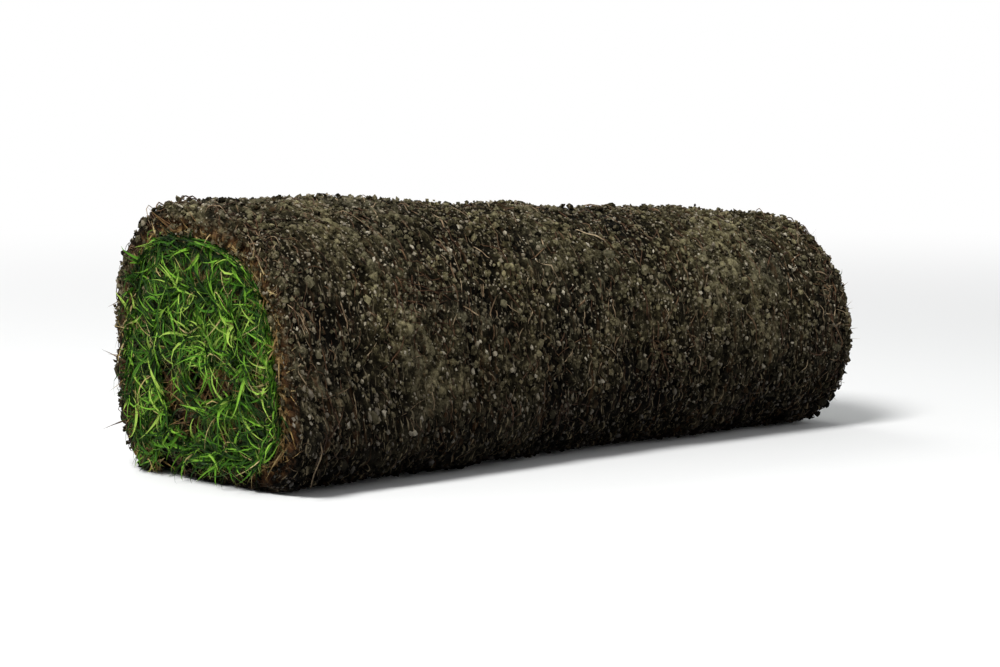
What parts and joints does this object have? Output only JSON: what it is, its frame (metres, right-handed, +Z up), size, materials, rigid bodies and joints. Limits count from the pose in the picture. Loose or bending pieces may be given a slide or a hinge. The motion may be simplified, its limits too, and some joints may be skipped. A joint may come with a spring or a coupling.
{
  "type": "roll of turf",
  "caption": "Roll of lawn turf lying on its side: one strip of dark soil and grass wound grass side in, its turns showing on both ends.",
  "frame": {"origin": "on the ground under the middle of the roll, at the centre of its bounding box", "axes": "+X along the roll, across the strip, to its tighter end; +Y to the back, where the loose end lies; +Z up"},
  "size_m": [0.4, 0.1558, 0.1403],
  "materials": {
    "turf_soil": "matte"
  },
  "bodies": {
    "root": {"turf_roll": "turf_soil"}
  },
  "joints": []
}
